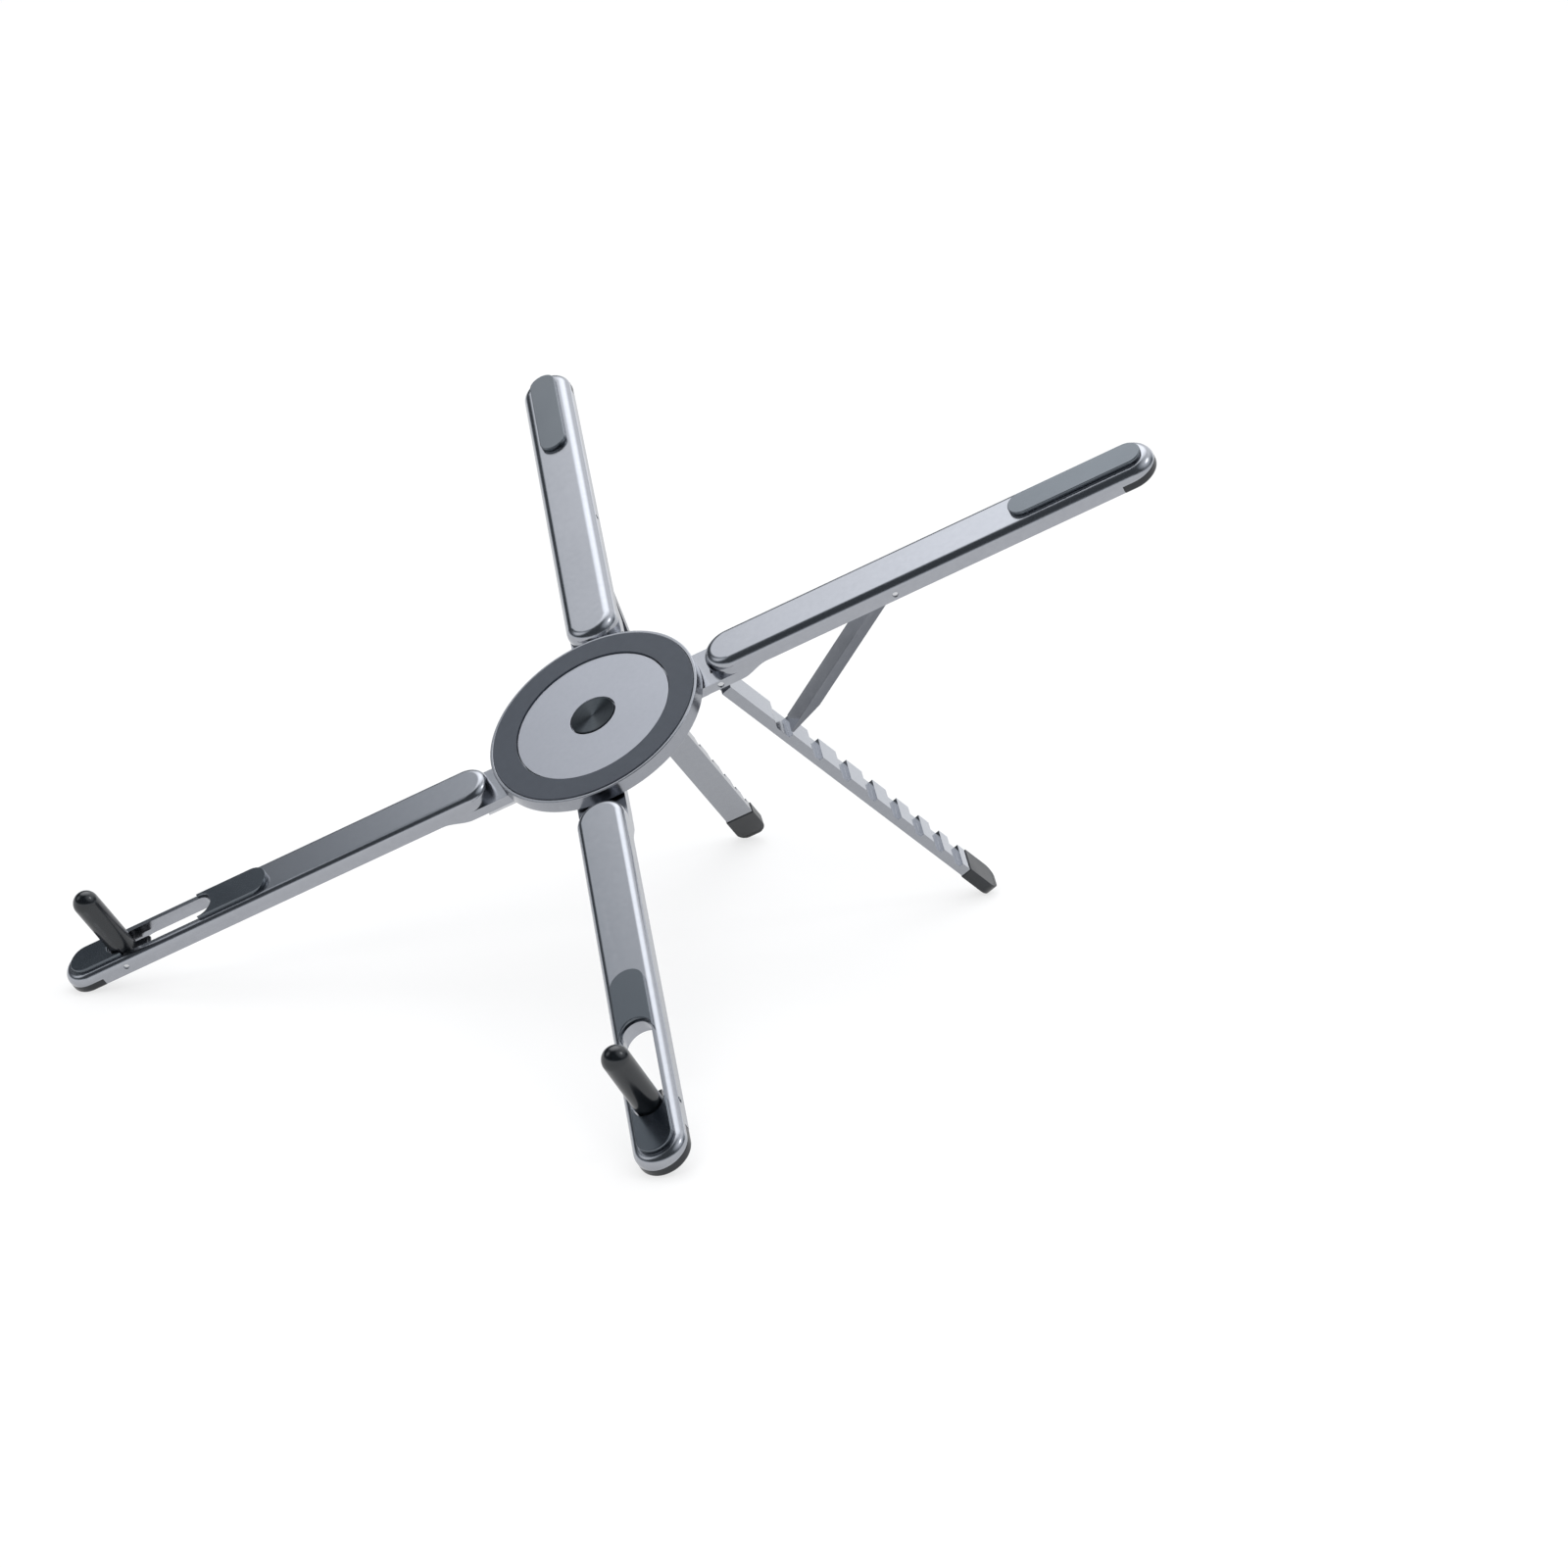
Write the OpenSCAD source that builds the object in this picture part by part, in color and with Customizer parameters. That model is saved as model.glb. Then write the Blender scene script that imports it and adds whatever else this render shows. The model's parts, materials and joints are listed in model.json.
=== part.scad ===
/* [Deck] */
// Distance from the middle plane to an arm's pivot, across the stand
pivot_x = 8.2; // [8:0.1:12]
// Distance from the hinge axle to an arm's pivot, along the stand
pivot_y = 13.2; // [12.6:0.1:16]
// Angle that each arm is swung out from straight ahead
arm_spread = 45; // [20:1:60]
// Running gap between parts that move past each other
gap = 0.3; // [0.15:0.05:0.5]

/* [Hub] */
// Outer diameter of the hub's cup
cup_d = 62; // [56:1:62]
// Height of the cup's side wall
cup_h = 4; // [3:0.1:4.2]
// Thickness of the cup's side wall
cup_wall = 2.2; // [1.2:0.1:3]
// Thickness of the cup's top plate
cup_plate = 1.1; // [0.8:0.1:1.3]
// Width of the cup's bare rim around the rubber ring
cup_rim = 1; // [0.6:0.1:2]
// Inner diameter of the rubber ring
ring_inner_d = 45.8; // [30:0.1:50]
// Thickness of the rubber ring
ring_t = 1.3; // [0.8:0.1:1.4]
// Height of the rubber ring above the cup's rim
ring_proud = 0.3; // [0.1:0.1:0.6]
// Thickness of the metal disc inside the ring
disc_t = 0.9; // [0.6:0.05:1.2]
// Diameter of the centre button
button_d = 12.9; // [8:0.1:20]
// Height of the centre button's raised edge above its middle
button_dish = 0.25; // [0.1:0.05:0.4]
// Diameter of the centre button's stem
button_stem_d = 5; // [3:0.1:6]

/* [Hinge] */
// Depth of the hinge axle below the top of the rubber ring
axle_drop = 11.6; // [11.4:0.1:13]
// Diameter of the hinge axle
axle_d = 3; // [2:0.1:4]
// Diameter of the hinge knuckles
knuckle_d = 6; // [5:0.1:6.4]
// Length of the row of knuckles
barrel_len = 25; // [20:0.5:26]
// Thickness of the leaf that joins a carrier to its knuckles
leaf_t = 1.8; // [1:0.1:2.2]
// Thickness of each lug under the cup
lug_t = 3.2; // [2:0.1:4]
// Diameter of a lug's round end
lug_d = 8.4; // [7:0.1:9]
// Thickness of a carrier plate
carrier_t = 1.9; // [1.2:0.1:1.9]
// Width of a carrier's round end around an arm's pivot
carrier_end_d = 15.6; // [12:0.1:16]

/* [Pivots] */
// Diameter of a pivot rivet's shank
rivet_d = 5; // [3:0.1:6]
// Diameter of a pivot rivet's head
rivet_head_d = 9.2; // [7:0.1:10]
// Thickness of a pivot rivet's head
rivet_head_t = 0.7; // [0.5:0.1:1]
// Height of the dome on a pivot rivet's head
rivet_dome_h = 1.2; // [0.6:0.1:1.3]
// Diameter of the dome on a pivot rivet's head
rivet_dome_d = 5.2; // [3.5:0.1:6]
// Clearance between a pin and the bore that turns on it
pin_play = 0.05; // [0.02:0.01:0.08]
// Clearance between a pin and the bore that holds it
pin_seat = 0.02; // [0.01:0.01:0.04]

/* [Arms] */
// Distance from an arm's pivot to its tip
arm_reach = 149.4; // [134:0.1:165]
// Width of a front arm
front_arm_w = 13.7; // [13.4:0.1:15.4]
// Width of a back arm
back_arm_w = 15.2; // [14.4:0.1:15.4]
// Height of an arm
arm_h = 4.9; // [4.7:0.1:5.2]
// Depth of an arm's top below the top of the rubber ring
arm_drop = 0.5; // [0.3:0.1:0.8]
// Radius of a front arm's rounded top edge
front_arm_fillet = 2.1; // [1.5:0.1:2.2]
// Radius of a back arm's rounded top edge
back_arm_fillet = 2.9; // [1.5:0.1:3]
// Distance from an arm's pivot to the inner end of its raised part
raised_start = 18.2; // [18:0.1:19]
// Thickness of an arm's neck
neck_t = 2.7; // [2.4:0.1:2.9]
// Height of a neck's top face below the arm's top face
neck_step = 4.4; // [4.3:0.1:4.7]
// Distance from the pivot to where the neck's underside starts to rise
ramp_start = 25.9; // [25:0.1:28]
// Length of the rise under an arm
ramp_len = 8.3; // [5:0.1:12]
// Thickness of the plate under a neck
neck_plate_t = 1; // [0.6:0.1:1.1]
// Width of the plate under a neck
neck_plate_w = 13.2; // [10:0.1:14]
// Distance from the pivot to the end of a front arm's neck plate
front_plate_end = 21.5; // [16:0.1:24]
// Distance from the pivot to the end of a back arm's neck plate
back_plate_end = 15.6; // [12:0.1:16.4]

/* [Tip caps and pads] */
// Length of the rubber cap under an arm's tip
cap_len = 10.7; // [9:0.1:10.9]
// Thickness of the rubber cap
cap_t = 2.7; // [2:0.1:3]
// Height of the rubber cap below the arm's underside
cap_proud = 0.6; // [0.4:0.1:0.7]
// Radius of the rubber cap's lower edge
cap_round = 1; // [0.5:0.1:1.2]
// Height of a pad above the arm
pad_h = 1.3; // [0.6:0.1:1.8]
// Width of a front arm's pads
front_pad_w = 9.3; // [8.8:0.1:9.4]
// Length of the pad at a front arm's tip, from the hook's middle
tip_pad_len = 15.5; // [13:0.1:17]
// Length of the pad inside a front arm's slot
grip_pad_len = 21.6; // [12:0.1:40]
// Width of a back arm's pad
back_pad_w = 8.1; // [6:0.1:9.2]
// Length of a back arm's pad
back_pad_len = 37.9; // [20:0.1:60]
// Distance from a back arm's pad to the arm's tip
back_pad_inset = 2.6; // [2.4:0.1:8]

/* [Hooks] */
// Distance from a front arm's tip to its hook
hook_inset = 18.4; // [16:0.1:24]
// Diameter of a hook
hook_d = 7.2; // [6:0.1:7.2]
// Height of a hook above the top of the rubber ring
hook_h = 21; // [14:0.1:21.2]
// Length of the straight part of the slot that a hook folds into
slot_len = 24.3; // [23:0.1:32]
// Depth of a hook's pin below the arm's top face
hook_pin_drop = 2.4; // [2.2:0.1:2.6]
// Diameter of a hook's pin
hook_pin_d = 1.6; // [1:0.1:2]
// Length of the heel at a hook's foot, past the hook's side
heel_len = 3.4; // [2:0.1:4]
// Thickness of the heel at a hook's foot
heel_t = 1.6; // [1:0.1:2]
// Width of the recess under the slot, past the slot on each side
recess_lip = 1.1; // [0.4:0.1:1.6]
// Height of the recess under the slot
recess_h = 2.4; // [1:0.1:2.6]

/* [Legs] */
// Distance from a back arm's pivot to its leg's pin
leg_x = 20; // [19.8:0.1:20.8]
// Depth of a leg's pin below the neck's top face
leg_pin_drop = 1.5; // [1.4:0.1:1.6]
// Diameter of a leg's pin
leg_pin_d = 1.8; // [1.2:0.1:2]
// Angle between a leg and its arm
leg_angle = 72.4; // [60:0.1:80]
// Distance from a leg's pin to the end of its foot
leg_len = 119; // [110:0.1:121]
// Width of a leg
leg_w = 8.5; // [6:0.1:8.6]
// Thickness of a leg
leg_t = 3.2; // [2.6:0.1:3.4]
// Offset of a leg's middle from its pin
leg_offset = 1.9; // [1.8:0.05:2]
// Diameter of a leg's knuckle around its pin
leg_knuckle_d = 3.8; // [3.4:0.1:3.8]
// Width of a leg's knuckle
leg_knuckle_w = 5.6; // [4:0.1:6]
// Distance from the pin to a leg's full width
leg_shoulder = 4.8; // [4.6:0.1:6]
// Depth of a notch in a leg
notch_depth = 1.3; // [0.8:0.1:1.6]
// Length of a notch's floor
notch_floor = 2.2; // [1.5:0.1:3]
// Length of the slope into a notch
notch_ramp = 2.4; // [1:0.1:3]
// Number of notches in a leg
notch_count = 8; // [4:1:8]
// Distance from a leg's pin to the wall of its first notch
first_wall = 30; // [28:0.1:34]
// Extra length of the first notch's floor
first_floor_extra = 2.9; // [0:0.1:4]
// Distance between the first two notches
first_pitch = 12.5; // [11:0.1:13]
// Shortening of each distance between notches
pitch_drop = 0.7; // [0.5:0.01:1]
// Length of a foot's rubber cap
foot_len = 13; // [10:0.1:13.4]
// Thickness of the rubber around a leg's end
foot_wall = 0.3; // [0.2:0.05:0.3]
// Radius of a foot's corners
foot_corner = 4.4; // [1:0.1:4.5]
// Radius of the edges around a foot's end
foot_edge_r = 1; // [0.5:0.1:1.4]

/* [Struts] */
// Distance from a back arm's pivot to its strut's pin
strut_x = 72.8; // [68:0.1:76]
// Depth of a strut's pin below the arm's top face
strut_pin_drop = 3.2; // [3.1:0.1:3.3]
// Diameter of a strut's pin
strut_pin_d = 1.6; // [1:0.1:1.8]
// Width of a strut
strut_w = 7.3; // [6:0.1:8]
// Thickness of a strut
strut_t = 2.8; // [2:0.1:2.9]
// Thickness of a strut's toe
toe_t = 0.7; // [0.5:0.1:1.5]
// Length of the thinning towards a strut's toe
toe_taper = 11; // [6:0.5:20]
// Width of the notch in a strut's hinge end
fork_w = 3.4; // [2:0.1:4]
// Depth of the notch in a strut's hinge end, from its pin
fork_depth = 4.4; // [2.5:0.1:8]
// Thickness of the arm's web above the strut
web_t = 1.4; // [1:0.1:1.5]
// Width of the channel under a back arm
channel_w = 8.8; // [8.6:0.1:10]
// Distance from a back arm's tip to the end of its channel
channel_inset = 15; // [13:0.5:18]
// Distance that the channel runs from the strut's pin towards the hub
channel_back = 6; // [5.5:0.1:10]

/* [Hidden] */
$fn = 64;
eps = 0.01;

// Levels, measured up from the top of the rubber ring
rim_z = -ring_proud;
seat_z = -ring_t;
cup_plate_z = seat_z - cup_plate;
cup_bottom_z = rim_z - cup_h;
carrier_top_z = cup_plate_z - gap;
carrier_bottom_z = carrier_top_z - carrier_t;
arm_top_z = -arm_drop;
arm_bottom_z = arm_top_z - arm_h;
neck_top_z = arm_top_z - neck_step;
neck_bottom_z = neck_top_z - neck_t;
neck_plate_z = neck_bottom_z - neck_plate_t;
rivet_head_z = neck_plate_z - gap;
cap_bottom_z = arm_bottom_z - cap_proud;
cap_top_z = cap_bottom_z + cap_t;
channel_top_z = arm_top_z - web_t;
hook_pin_z = arm_top_z - hook_pin_drop;
leg_pin_z = neck_top_z - leg_pin_drop;
strut_pin_z = arm_top_z - strut_pin_drop;

// Hub
ring_outer_d = cup_d - 2 * cup_rim;
disc_d = ring_inner_d - 2 * gap;
button_hole_d = button_d + 2 * gap;
knuckle_gap = gap;
knuckle_len = (barrel_len - 2 * knuckle_gap) / 3;
lug_x = barrel_len / 2 + gap;
leaf_reach = knuckle_d / 2;
carrier_half_w = barrel_len / 2;

// Arms, measured out from the pivot
front_arm_r = front_arm_w / 2;
front_tip_centre = arm_reach - front_arm_r;
hook_x = arm_reach - hook_inset;
cap_start = arm_reach - cap_len;
slot_r = hook_d / 2 + gap;
slot_inner = hook_x - slot_len;
recess_end = hook_x - 2 * slot_r;
recess_w = 2 * (slot_r + recess_lip);
channel_end = arm_reach - channel_inset;
back_pad_end = arm_reach - back_pad_inset;
grip_pad_gap = 0.5;
ramp_steps = 10;

// Legs
leg_face = leg_t / 2 - leg_offset;
leg_back = -leg_t / 2 - leg_offset;
foot_start = leg_len - foot_len;
foot_t = leg_t + 2 * foot_wall;
foot_flat = foot_t / 2 - foot_edge_r;
foot_along = leg_len - foot_edge_r;
foot_w = leg_w + 2 * foot_wall;
foot_core_w = leg_w - 3;
foot_core_t = leg_t - 1.2;
foot_core_len = foot_len * 0.6;
leg_pocket_r = leg_knuckle_d / 2 + gap + 0.1;
leg_pocket_w = leg_knuckle_w + 2 * gap;
leg_bed_w = leg_w + 2 * gap + 0.2;

// The strut's toe lies just clear of the leg, over the wall of the first notch
toe_along = first_wall + 0.6;
toe_lift = leg_face + toe_t / 2 + gap;
toe_x = leg_x + toe_along * cos(leg_angle) + toe_lift * sin(leg_angle);
toe_z = leg_pin_z - toe_along * sin(leg_angle) + toe_lift * cos(leg_angle);
strut_len = norm([strut_x - toe_x, strut_pin_z - toe_z]);
strut_angle = atan2(strut_pin_z - toe_z, toe_x - strut_x);
strut_end_r = strut_t / 2;
tongue_w = fork_w - 2 * gap + 0.2;
tongue_half = 1.7;
pin_inset = 0.4;

// How far the end of a foot reaches in a direction given along, up from and across its leg
corner_steps = 30;
function foot_edge(along, up, across, turn) = let (
    end = leg_len - foot_corner * (1 - cos(turn)),
    place = min(end, foot_along + foot_edge_r * along / norm([along, up])),
    past = max(0, place - foot_along)
) along * place + abs(up) * (foot_flat + sqrt(foot_edge_r * foot_edge_r - past * past)) - up * leg_offset
    + abs(across) * (foot_w / 2 - foot_corner * (1 - sin(turn)));
function foot_support(along, up, across) =
    max([for (i = [0 : corner_steps]) foot_edge(along, up, across, 90 * i / corner_steps)]);

// The same, in the middle plane's direction given by how much of it points back and up
function foot_extent(back, up) =
    back * (pivot_y + leg_x * cos(arm_spread)) + up * leg_pin_z + foot_support(
        back * cos(arm_spread) * cos(leg_angle) - up * sin(leg_angle),
        back * cos(arm_spread) * sin(leg_angle) + up * cos(leg_angle),
        back * sin(arm_spread)
    );

// The deck leans back until the front tips and the feet stand on one plane
tip_y = pivot_y + front_tip_centre * cos(arm_spread) + front_arm_r - cap_round;
tip_z = cap_bottom_z + cap_round;
foot_y = pivot_y + (leg_x + leg_len * cos(leg_angle)) * cos(arm_spread);
foot_z = leg_pin_z - leg_len * sin(leg_angle);
stance = norm([foot_y + tip_y, foot_z - tip_z]);
tilt_steps = 8;
function tip_depth(tilt) = tip_y * sin(tilt) - tip_z * cos(tilt) + cap_round;
function foot_depth(tilt) = foot_extent(-sin(tilt), -cos(tilt));
function settled(tilt, steps) = steps == 0 ? tilt
    : settled(tilt + (foot_depth(tilt) - tip_depth(tilt)) / stance * 180 / PI, steps - 1);
deck_tilt = settled(30, tilt_steps);

// The stand's outline is centred on the origin
hook_top_z = hook_h - hook_d / 2;
hook_y = pivot_y + hook_x * cos(arm_spread);
hook_front = hook_y * cos(deck_tilt) + hook_top_z * sin(deck_tilt) + hook_d / 2;
tip_front = (tip_y + cap_round) * cos(deck_tilt) - arm_drop * sin(deck_tilt);
tip_back = tip_y * cos(deck_tilt) - tip_z * sin(deck_tilt) + cap_round;
foot_back = foot_extent(cos(deck_tilt), -sin(deck_tilt));
outline_y = (max(tip_back, foot_back) - max(hook_front, tip_front)) / 2;
deck_shift = [0, -outline_y, tip_depth(deck_tilt)];

LEFT = -1;
RIGHT = 1;
FRONT = -1;
BACK = 1;
METAL = [0.62, 0.64, 0.68];
STEEL = [0.78, 0.79, 0.82];
GUNMETAL = [0.3, 0.31, 0.34];
RUBBER = [0.17, 0.18, 0.2];
BLACK = [0.09, 0.09, 0.1];

// Places

module on_deck() {
    translate(deck_shift) rotate([deck_tilt, 0, 0]) children();
}

module at_pivot(side, end) {
    swing = atan2(end * cos(arm_spread), side * sin(arm_spread));
    on_deck() translate([side * pivot_x, end * pivot_y, 0]) rotate([0, 0, swing]) children();
}

module at_hook(side) {
    at_pivot(side, FRONT) translate([hook_x, 0, hook_pin_z]) children();
}

module at_leg(side) {
    at_pivot(side, BACK) translate([leg_x, 0, leg_pin_z]) rotate([0, leg_angle, 0]) children();
}

module at_strut(side) {
    at_pivot(side, BACK) translate([strut_x, 0, strut_pin_z]) rotate([0, strut_angle, 0]) children();
}

// Shapes that repeat

// A flat-ended cylinder that runs along Y
module cross_pin(d, length) {
    rotate([90, 0, 0]) cylinder(d = d, h = length, center = true);
}

// A plate's outline along X with two round ends
module stadium(start, end, width) {
    translate([start, -width / 2]) square([end - start, width]);
    for (x = [start, end]) translate([x, 0]) circle(d = width);
}

// A bar's section with rounded upper edges, and half of it for the round ends
module bar_half(half_w, height, fillet) {
    square([half_w - fillet, height]);
    square([half_w, height - fillet]);
    intersection() {
        translate([half_w - fillet, height - fillet]) circle(r = fillet);
        square([half_w, height]);
    }
}

module rounded_bar(start, end, width, height, fillet) {
    half_w = width / 2;
    translate([start, 0, 0]) rotate([90, 0, 90]) linear_extrude(end - start) {
        bar_half(half_w, height, fillet);
        mirror([1, 0]) bar_half(half_w, height, fillet);
    }
    for (x = [start, end]) translate([x, 0, 0]) rotate_extrude() bar_half(half_w, height, fillet);
}

// A block along X, centred on Y
module block(start, end, width, low, high) {
    translate([start, -width / 2, low]) cube([end - start, width, high - low]);
}

// Hub

module hub_cup() {
    color(METAL) on_deck() difference() {
        union() {
            translate([0, 0, cup_bottom_z]) cylinder(d = cup_d, h = cup_h);
            for (side = [LEFT, RIGHT]) axle_lug(side);
        }
        translate([0, 0, seat_z]) cylinder(d = ring_outer_d, h = cup_h);
        cup_hollow();
        translate([0, 0, cup_plate_z - eps])
            cylinder(d = button_stem_d + 2 * pin_seat, h = cup_plate + 2 * eps);
        axle_bore(pin_seat);
    }
}

module cup_hollow() {
    difference() {
        translate([0, 0, cup_bottom_z - eps]) {
            cylinder(d = cup_d - 2 * cup_wall, h = cup_plate_z - cup_bottom_z + eps);
        }
        for (side = [LEFT, RIGHT]) axle_lug(side);
    }
}

module axle_lug(side) {
    translate([side * (lug_x + lug_t / 2), 0, -axle_drop]) rotate([0, 90, 0]) {
        cylinder(d = lug_d, h = lug_t, center = true);
        lug_rise = axle_drop + cup_plate_z + eps;
        translate([-lug_rise, -lug_d / 2, -lug_t / 2]) cube([lug_rise, lug_d, lug_t]);
    }
}

module axle_bore(play) {
    translate([0, 0, -axle_drop]) rotate([0, 90, 0]) {
        cylinder(d = axle_d + 2 * play, h = cup_d, center = true);
    }
}

module hub_rubber_ring() {
    color(RUBBER) on_deck() translate([0, 0, seat_z]) difference() {
        cylinder(d = ring_outer_d, h = ring_t);
        translate([0, 0, -eps]) cylinder(d = ring_inner_d, h = ring_t + 2 * eps);
    }
}

module hub_top_disc() {
    color(METAL) on_deck() translate([0, 0, seat_z]) difference() {
        cylinder(d = disc_d, h = disc_t);
        translate([0, 0, -eps]) cylinder(d = button_hole_d, h = disc_t + 2 * eps);
    }
}

module hub_button() {
    color(GUNMETAL) on_deck() translate([0, 0, seat_z]) rotate_extrude() polygon([
        [0, -cup_plate], [button_stem_d / 2, -cup_plate], [button_stem_d / 2, 0], [button_d / 2, 0],
        [button_d / 2, disc_t + button_dish - gap / 2], [button_d / 2 - gap / 2, disc_t + button_dish],
        [0, disc_t],
    ]);
}

module hub_axle() {
    color(STEEL) on_deck() translate([0, 0, -axle_drop]) rotate([0, 90, 0]) {
        cylinder(d = axle_d, h = 2 * (lug_x + lug_t), center = true);
    }
}

// Carriers, with the outer two knuckles on the front one and the middle one on the back one

module carrier(end, knuckle_places) {
    on_deck() difference() {
        union() {
            translate([0, 0, carrier_bottom_z]) linear_extrude(carrier_t) carrier_outline(end);
            carrier_leaf(end);
            for (x = knuckle_places) carrier_knuckle(end, x);
        }
        axle_bore(pin_play);
        for (side = [LEFT, RIGHT]) translate([side * pivot_x, end * pivot_y, carrier_bottom_z - eps]) {
            cylinder(d = rivet_d + 2 * pin_seat, h = carrier_t + 2 * eps);
        }
    }
}

module carrier_outline(end) {
    inner = leaf_reach - leaf_t;
    near = min(end * inner, end * pivot_y);
    translate([-carrier_half_w, near]) square([2 * carrier_half_w, pivot_y - inner]);
    for (side = [LEFT, RIGHT]) translate([side * pivot_x, end * pivot_y]) circle(d = carrier_end_d);
    far = min(end * pivot_y, end * (pivot_y + carrier_end_d / 2));
    translate([-pivot_x, far]) square([2 * pivot_x, carrier_end_d / 2]);
}

module carrier_leaf(end) {
    low = -axle_drop + knuckle_d / 2 + gap;
    near = min(end * leaf_reach, end * (leaf_reach - leaf_t));
    translate([-carrier_half_w, near, low]) cube([2 * carrier_half_w, leaf_t, carrier_top_z - low]);
}

module carrier_knuckle(end, x) {
    near = min(end * leaf_reach, end * (leaf_reach - leaf_t));
    translate([x - knuckle_len / 2, 0, -axle_drop]) {
        rotate([0, 90, 0]) cylinder(d = knuckle_d, h = knuckle_len);
        translate([0, near, 0]) cube([knuckle_len, leaf_t, axle_drop + carrier_bottom_z]);
    }
}

module front_carrier() {
    outer = knuckle_len + knuckle_gap;
    color(GUNMETAL) carrier(FRONT, [-outer, outer]);
}

module back_carrier() {
    color(GUNMETAL) carrier(BACK, [0]);
}

module rivets(end) {
    for (side = [LEFT, RIGHT]) on_deck() translate([side * pivot_x, end * pivot_y, 0]) rivet();
}

module rivet() {
    head_low = rivet_head_z - rivet_head_t;
    dome_low = head_low - rivet_dome_h;
    dome_r = (pow(rivet_dome_d / 2, 2) + pow(rivet_dome_h, 2)) / (2 * rivet_dome_h);
    translate([0, 0, head_low]) cylinder(d = rivet_d, h = carrier_top_z - head_low);
    translate([0, 0, head_low]) cylinder(d = rivet_head_d, h = rivet_head_t);
    intersection() {
        translate([0, 0, dome_low + dome_r]) sphere(r = dome_r);
        translate([0, 0, dome_low]) cylinder(d = rivet_dome_d, h = rivet_dome_h + eps);
    }
}

module front_rivets() {
    color(STEEL) rivets(FRONT);
}

module back_rivets() {
    color(STEEL) rivets(BACK);
}

// Arms

// The neck's side view, with a smooth rise under the start of the raised part
module neck_profile() {
    rise = arm_bottom_z - neck_bottom_z;
    polygon(concat(
        [[0, neck_top_z], [0, neck_bottom_z]],
        [for (i = [0 : ramp_steps]) let (part = i / ramp_steps)
            [ramp_start + ramp_len * part, neck_bottom_z + rise * (1 - cos(180 * part)) / 2]],
        [[ramp_start + ramp_len, neck_top_z]]
    ));
}

module arm_blank(width, fillet) {
    difference() {
        translate([0, 0, arm_bottom_z]) {
            rounded_bar(raised_start + width / 2, arm_reach - width / 2, width, arm_h, fillet);
        }
        block(cap_start, arm_reach + eps, width + 2 * eps, cap_bottom_z, cap_top_z);
    }
    rotate([90, 0, 0]) linear_extrude(width, center = true) neck_profile();
    translate([0, 0, neck_bottom_z]) cylinder(d = width, h = neck_t);
}

module pivot_bore() {
    translate([0, 0, neck_plate_z - eps]) {
        cylinder(d = rivet_d + 2 * pin_play, h = neck_top_z - neck_plate_z + 2 * eps);
    }
}

module front_arm(side) {
    color(METAL) at_pivot(side, FRONT) difference() {
        arm_blank(front_arm_w, front_arm_fillet);
        pivot_bore();
        translate([0, 0, arm_bottom_z - eps]) linear_extrude(arm_h + 2 * eps) {
            stadium(slot_inner, hook_x, 2 * slot_r);
        }
        translate([0, 0, arm_bottom_z - eps]) linear_extrude(recess_h + eps) {
            stadium(slot_inner, recess_end, recess_w);
        }
        translate([hook_x, 0, hook_pin_z]) cross_pin(hook_pin_d + 2 * pin_seat, front_arm_w + eps);
    }
}

module back_arm(side) {
    color(METAL) at_pivot(side, BACK) difference() {
        union() {
            difference() {
                arm_blank(back_arm_w, back_arm_fillet);
                strut_channel();
            }
            block(strut_x - tongue_half, strut_x + tongue_half, tongue_w, arm_bottom_z, channel_top_z + eps);
        }
        pivot_bore();
        leg_pocket();
        translate([leg_x, 0, leg_pin_z]) cross_pin(leg_pin_d + 2 * pin_seat, back_arm_w + eps);
        translate([strut_x, 0, strut_pin_z]) cross_pin(strut_pin_d + 2 * pin_seat, back_arm_w + eps);
    }
}

module strut_channel() {
    low = arm_bottom_z - eps;
    block(strut_x - channel_back, channel_end - channel_w / 2, channel_w, low, channel_top_z);
    translate([channel_end - channel_w / 2, 0, low]) cylinder(d = channel_w, h = channel_top_z - low);
}

// Room for the leg's knuckle around its pin and for the leg when it lies flat
module leg_pocket() {
    low = neck_bottom_z - eps;
    bed_top = leg_pin_z + leg_face + gap;
    pocket_start = leg_x + leg_back - gap;
    translate([leg_x, 0, leg_pin_z]) cross_pin(2 * leg_pocket_r, leg_pocket_w);
    block(pocket_start, leg_x + leg_shoulder, leg_pocket_w, low, leg_pin_z);
    block(leg_x, leg_x + leg_shoulder, leg_pocket_w, low, bed_top);
    block(leg_x + leg_shoulder - gap, ramp_start + ramp_len, leg_bed_w, low, bed_top);
}

module neck_plate(side, end, plate_end) {
    color(STEEL) at_pivot(side, end) difference() {
        translate([0, 0, neck_plate_z]) linear_extrude(neck_plate_t) {
            translate([0, -neck_plate_w / 2]) square([plate_end, neck_plate_w]);
            circle(d = neck_plate_w);
        }
        pivot_bore();
    }
}

// Two small screws under a back arm's neck plate
module neck_screws(side) {
    screw_d = 2.2;
    screw_h = 0.7;
    screw_gap = 3.4;
    color(STEEL) at_pivot(side, BACK) for (i = [0, 1]) {
        translate([back_plate_end - screw_d - i * screw_gap, 0, neck_plate_z - screw_h]) {
            cylinder(d = screw_d, h = screw_h);
        }
    }
}

module tip_cap(side, end) {
    width = end == FRONT ? front_arm_w : back_arm_w;
    tip_centre = arm_reach - width / 2;
    color(BLACK) at_pivot(side, end) intersection() {
        translate([0, 0, cap_top_z]) mirror([0, 0, 1]) {
            rounded_bar(tip_centre - cap_len, tip_centre, width, cap_t, cap_round);
        }
        block(cap_start, arm_reach, width, cap_bottom_z, cap_top_z);
    }
}

// Pads

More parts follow.
